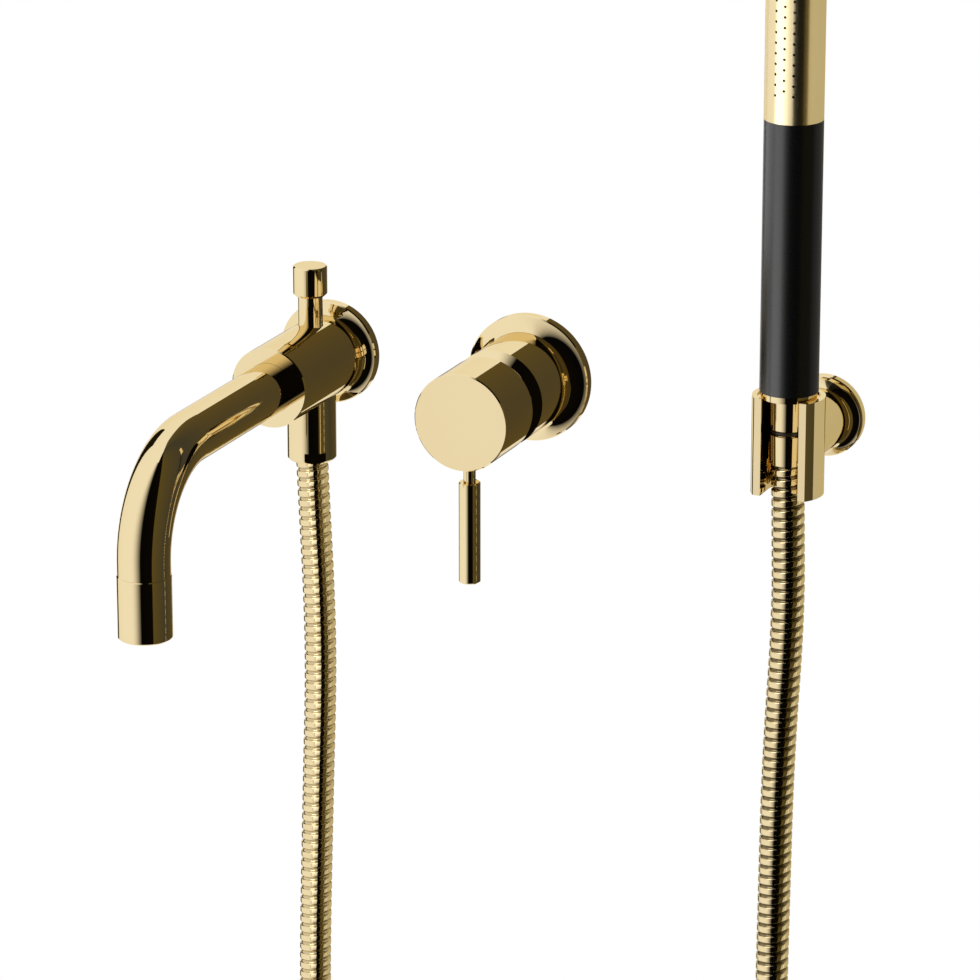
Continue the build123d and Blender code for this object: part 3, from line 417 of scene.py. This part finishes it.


# Gap shade ring: a dark ring with a rounded rim in the gap between the hand shower's inlet and the hose
# nut. It is painted shade, a dark piece that stands for the shadow in that gap and shows as a dark line.
shade_ring_outline = [
    (0.00695, 0.0050), (0.0074, 0.0050), (0.00775, 0.0055), (0.00785, 0.00605),
    (0.00775, 0.0066), (0.0074, 0.0071), (0.00695, 0.0071),
]
shade_ring_turns = 48
connector_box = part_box("handshower_connector")
shade_ring_middle = (connector_box[0] + connector_box[1]) / 2
shade_ring_points = [
    (shade_ring_middle.x + radius * math.cos(math.tau * turn / shade_ring_turns),
     shade_ring_middle.y + radius * math.sin(math.tau * turn / shade_ring_turns), level)
    for turn in range(shade_ring_turns) for radius, level in shade_ring_outline
]
sides = len(shade_ring_outline)
shade_ring_faces = [
    (turn * sides + side, (turn + 1) % shade_ring_turns * sides + side,
     (turn + 1) % shade_ring_turns * sides + (side + 1) % sides, turn * sides + (side + 1) % sides)
    for turn in range(shade_ring_turns) for side in range(sides)
]
shade_ring_mesh = bpy.data.meshes.new("nut_gap_shade_ring")
shade_ring_mesh.from_pydata(shade_ring_points, [], shade_ring_faces)
shade_ring_mesh.polygons.foreach_set("use_smooth", [True] * len(shade_ring_faces))
# Painted shade: the ring's dark brown stands for the shadow in the gap.
gap_shade_finish, tree, shader = new_finish("gap_shade_finish", Specular_IOR_Level=0.4)
tint(tree, grain(tree, 900), (0.012, 0.008, 0.003), (0.022, 0.015, 0.006), shader.inputs["Base Color"])
shade_range(tree, grain(tree, 900), 0.2, 0.3, shader.inputs["Roughness"])
shade_ring_mesh.materials.append(gap_shade_finish)
gap_shade_ring = bpy.data.objects.new("nut_gap_shade_ring", shade_ring_mesh)
bpy.context.scene.collection.objects.link(gap_shade_ring)
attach(gap_shade_ring, "hand_shower")


# Floor: a pale round of studio paper well below the loop of the hose. It fades out to the white
# surround at its rim, and it takes the shadow of the set.
floor_drop = 0.21
floor_radius = 1.1
fade_start = 0.4 * floor_radius
round_bearings = [math.radians(turn) for turn in range(0, 360, 5)]
floor_mesh = bpy.data.meshes.new("floor")
floor_corners = [
    (floor_radius * math.cos(turn), floor_radius * math.sin(turn), cad_box[0].z - floor_drop)
    for turn in round_bearings
]
floor_mesh.from_pydata(floor_corners, [], [list(range(len(floor_corners)))])
floor = bpy.data.objects.new("floor", floor_mesh)
bpy.context.scene.collection.objects.link(floor)
paper, tree, shader = new_finish("studio_paper", Roughness=0.9, Specular_IOR_Level=0.1)
tint(tree, grain(tree, 500), (0.86, 0.86, 0.86), (0.88, 0.88, 0.88), shader.inputs["Base Color"])
paper_place = tree.nodes.new("ShaderNodeTexCoord")
flat_place = tree.nodes.new("ShaderNodeVectorMath")
flat_place.operation = "MULTIPLY"
flat_place.inputs[1].default_value = (1, 1, 0)
from_middle = tree.nodes.new("ShaderNodeVectorMath")
from_middle.operation = "LENGTH"
fade = tree.nodes.new("ShaderNodeMapRange")
fade.interpolation_type = "SMOOTHSTEP"
fade.inputs["From Min"].default_value = fade_start
fade.inputs["From Max"].default_value = floor_radius
fade.inputs["To Min"].default_value = 1.0
fade.inputs["To Max"].default_value = 0.0
tree.links.new(paper_place.outputs["Object"], flat_place.inputs[0])
tree.links.new(flat_place.outputs["Vector"], from_middle.inputs[0])
tree.links.new(from_middle.outputs["Value"], fade.inputs["Value"])
tree.links.new(fade.outputs["Result"], shader.inputs["Alpha"])
floor_mesh.materials.append(paper)
floor.visible_glossy = False


# Studio flags: a black card at the front right with a grey one that softens its edge, a dim brown one from
# the right round to the back, a narrow dark one behind at the left, and a dark round far behind the set.
# They show only in what shines and give the metal its dark stretches and edges.
flag_distance = 3.0
flag_columns = 24
flag_top = 14
edge_flag_top = 2.4
backdrop_radius = 0.9
backdrop_way = Vector((-0.388, 0.868, -0.312))


def hang_card(name, corners, faces, shares, colours):
    """A glowing card that only mirrors show, its colours spread over the corners' shares."""
    card_mesh = bpy.data.meshes.new(name)
    card_mesh.from_pydata(corners, [], faces)
    share_of_corner = card_mesh.attributes.new("share", "FLOAT", "POINT")
    share_of_corner.data.foreach_set("value", shares)
    cloth = bpy.data.materials.new(name)
    cloth.use_nodes = True
    nodes, links = cloth.node_tree.nodes, cloth.node_tree.links
    nodes.clear()
    share = nodes.new("ShaderNodeAttribute")
    share.attribute_name = "share"
    ramp = nodes.new("ShaderNodeValToRGB")
    while len(ramp.color_ramp.elements) < len(colours):
        ramp.color_ramp.elements.new(0.5)
    for place, (element, colour) in enumerate(zip(ramp.color_ramp.elements, colours)):
        element.position = place / (len(colours) - 1)
        element.color = (*colour, 1)
    glow = nodes.new("ShaderNodeEmission")
    output = nodes.new("ShaderNodeOutputMaterial")
    links.new(share.outputs["Fac"], ramp.inputs["Fac"])
    links.new(ramp.outputs["Color"], glow.inputs["Color"])
    links.new(glow.outputs["Emission"], output.inputs["Surface"])
    card_mesh.materials.append(cloth)
    card = bpy.data.objects.new(name, card_mesh)
    bpy.context.scene.collection.objects.link(card)
    card.visible_camera = False
    card.visible_shadow = False
    card.visible_diffuse = False


def flag(name, start, end, top, colours, rear_slant=0.0, roof=True):
    """A curved card between two bearings in degrees, counted from the front to the right, and its roof."""
    corners = []
    shares = []
    for column in range(flag_columns + 1):
        share = column / flag_columns
        for level in (-1, 1):
            bearing = math.radians(start + (end - start + rear_slant * level) * share)
            right, front = flag_distance * math.sin(bearing), flag_distance * math.cos(bearing)
            corners.append((right, -front, top * level))
            shares.append(share)
    feet = range(0, 2 * flag_columns, 2)
    faces = [(foot, foot + 2, foot + 3, foot + 1) for foot in feet]
    if roof:
        faces += [(foot + 1, foot + 3, len(corners)) for foot in feet]
        corners.append((0, 0, top))
        shares.append(0.5)
    hang_card(name, corners, faces, shares, colours)


flag("black_flag", start=9, end=57, top=flag_top, colours=[(0.002, 0.002, 0.002), (0.004, 0.003, 0.002)])
flag("brown_flag", start=57, end=187, top=flag_top, rear_slant=20,
     colours=[(0.11, 0.085, 0.025), (0.058, 0.055, 0.042), (0.12, 0.09, 0.03)])
flag("edge_flag", start=-128, end=-109, top=edge_flag_top, roof=False,
     colours=[(0.012, 0.009, 0.004), (0.012, 0.009, 0.004)])
flag("grey_flag", start=-30, end=9, top=flag_top, roof=False,
     colours=[(1, 1, 1), (0.94, 0.93, 0.92), (0.71, 0.69, 0.67), (0.36, 0.345, 0.33), (0.03, 0.028, 0.025)])
backdrop_turn = backdrop_way.to_track_quat("Z", "Y")
backdrop_middle = backdrop_way * flag_distance
backdrop_rim = [
    backdrop_turn @ Vector((math.cos(turn), math.sin(turn), 0)) * backdrop_radius
    for turn in round_bearings
]
hang_card(
    "dark_backdrop",
    corners=[backdrop_middle] + [backdrop_middle + spot for spot in backdrop_rim],
    faces=[(0, 1 + place, 1 + (place + 1) % len(backdrop_rim)) for place in range(len(backdrop_rim))],
    shares=[0.0] + [1.0] * len(backdrop_rim),
    colours=[(0.04, 0.035, 0.025), (0.3, 0.28, 0.25), (1, 1, 1)],
)


# Lamps: a key, a strip and edge lamps for the stick, fills at the right for the stick, the holder and the
# hose, two lamps in front for the hose's ribs, and a broad bank overhead. All but the bank light only the
# pieces that they name, and the white surround does the rest.
set_middle = (cad_box[0] + cad_box[1]) / 2
warm = (0.68, 0.64, 0.49)
dim_warm = (0.57, 0.55, 0.48)
hose_card_aim = (-0.1, -0.025, -0.40)
surround_light = 0.6
surround_seen = 1.0


def soft_box(name, bearing, height, distance, size, power, lit=(), colour=(1, 1, 1), aim=set_middle):
    """A flat lamp at a bearing and height in degrees from its aim. It lights the given pieces, or all."""
    lamp_data = bpy.data.lights.new(name, "AREA")
    lamp_data.shape = "RECTANGLE"
    lamp_data.size, lamp_data.size_y = size
    lamp_data.energy = power
    lamp_data.color = colour
    lamp = bpy.data.objects.new(name, lamp_data)
    bpy.context.scene.collection.objects.link(lamp)
    side, up = math.radians(bearing), math.radians(height)
    out = Vector((math.sin(side) * math.cos(up), -math.cos(side) * math.cos(up), math.sin(up)))
    lamp.location = Vector(aim) + out * distance
    lamp.rotation_euler = out.to_track_quat("Z", "Y").to_euler()
    if lit:
        lamp.light_linking.receiver_collection = bpy.data.collections.new("lit_by_" + name)
    for piece in lit:
        lamp.light_linking.receiver_collection.objects.link(piece)
    return lamp


head = [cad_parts[node] for node in ("handshower_head", "handshower_end_cap")]
grip = [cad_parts["handshower_grip"]]
holder = [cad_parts[node] for node in (
    "holder_rosette", "holder_arm", "holder_clip", "handshower_connector", "hose_cone_nut")]
soft_box("key_lamp", bearing=-34, height=-18, distance=1.8, size=(1.4, 1.2), power=7.5, lit=head + grip)
soft_box("head_strip", bearing=3.5, height=-18, distance=1.6, size=(0.95, 1.6), power=4.0, lit=head)
soft_box("head_edge", bearing=-122, height=-18, distance=1.5, size=(0.5, 1.4), power=2.0, lit=head)
soft_box("head_fill", bearing=130, height=4, distance=1.1, size=(3.1, 1.9), power=14.3, lit=head,
         colour=warm)
soft_box("side_fill", bearing=144.6, height=4, distance=1.105, size=(1.62, 1.9), power=7.6,
         lit=holder + [hose], colour=warm)
soft_box("grip_fill", bearing=144.6, height=4, distance=1.105, size=(1.62, 1.9), power=1.6, lit=grip)
soft_box("grip_edge", bearing=-88, height=-18, distance=1.5, size=(1.6, 1.2), power=4.6, lit=grip)
soft_box("hose_fill", bearing=102, height=-18, distance=1.0, size=(0.40, 0.7), power=0.82, lit=[hose],
         colour=dim_warm)
soft_box("rib_strip", bearing=-19, height=30, distance=1.5, size=(0.85, 0.6), power=5.0, lit=[hose])
hose_card = soft_box("hose_card", bearing=12, height=0, distance=0.19, size=(0.124, 0.75), power=0.081,
                     lit=[hose], aim=hose_card_aim)
hose_card.data.spread = math.radians(80)
bank = soft_box("overhead_bank", bearing=-30, height=70, distance=2.2, size=(1.6, 1.6), power=40)
bank.visible_glossy = False

# The surround is white to the camera, in mirrors and through clear things, and dimmer as a light.
world = bpy.data.worlds.new("white_surround")
bpy.context.scene.world = world
world.use_nodes = True
nodes, links = world.node_tree.nodes, world.node_tree.links
surround = nodes["Background"]
surround.inputs["Color"].default_value = (1, 1, 1, 1)
path = nodes.new("ShaderNodeLightPath")
seen = nodes.new("ShaderNodeMath")
seen.operation = "MAXIMUM"
seen_through = nodes.new("ShaderNodeMath")
seen_through.operation = "MAXIMUM"
strength = nodes.new("ShaderNodeMapRange")
strength.inputs["To Min"].default_value = surround_light
strength.inputs["To Max"].default_value = surround_seen
links.new(path.outputs["Is Camera Ray"], seen.inputs[0])
links.new(path.outputs["Is Glossy Ray"], seen.inputs[1])
links.new(seen.outputs["Value"], seen_through.inputs[0])
links.new(path.outputs["Is Transmission Ray"], seen_through.inputs[1])
links.new(seen_through.outputs["Value"], strength.inputs["Value"])
links.new(strength.outputs["Result"], surround.inputs["Strength"])


# Camera: a long lens from the front right and a little above, square on the middle of the set.
# The hand shower and the loop of the hose run out of the picture.
camera_bearing = math.radians(23.948)
camera_height = math.radians(18.203)
camera_distance = 2.408
camera_aim = Vector((-0.00292, -0.040, -0.0433))
camera_data = bpy.data.cameras.new("camera")
camera_data.sensor_width = 36
camera_data.lens = 195.8
camera = bpy.data.objects.new("camera", camera_data)
bpy.context.scene.collection.objects.link(camera)
camera_back = Vector((
    math.sin(camera_bearing) * math.cos(camera_height),
    -math.cos(camera_bearing) * math.cos(camera_height),
    math.sin(camera_height),
))
camera.location = camera_aim + camera_back * camera_distance
camera.rotation_euler = camera_back.to_track_quat("Z", "Y").to_euler()
bpy.context.scene.camera = camera
bpy.context.scene.view_settings.view_transform = "Standard"
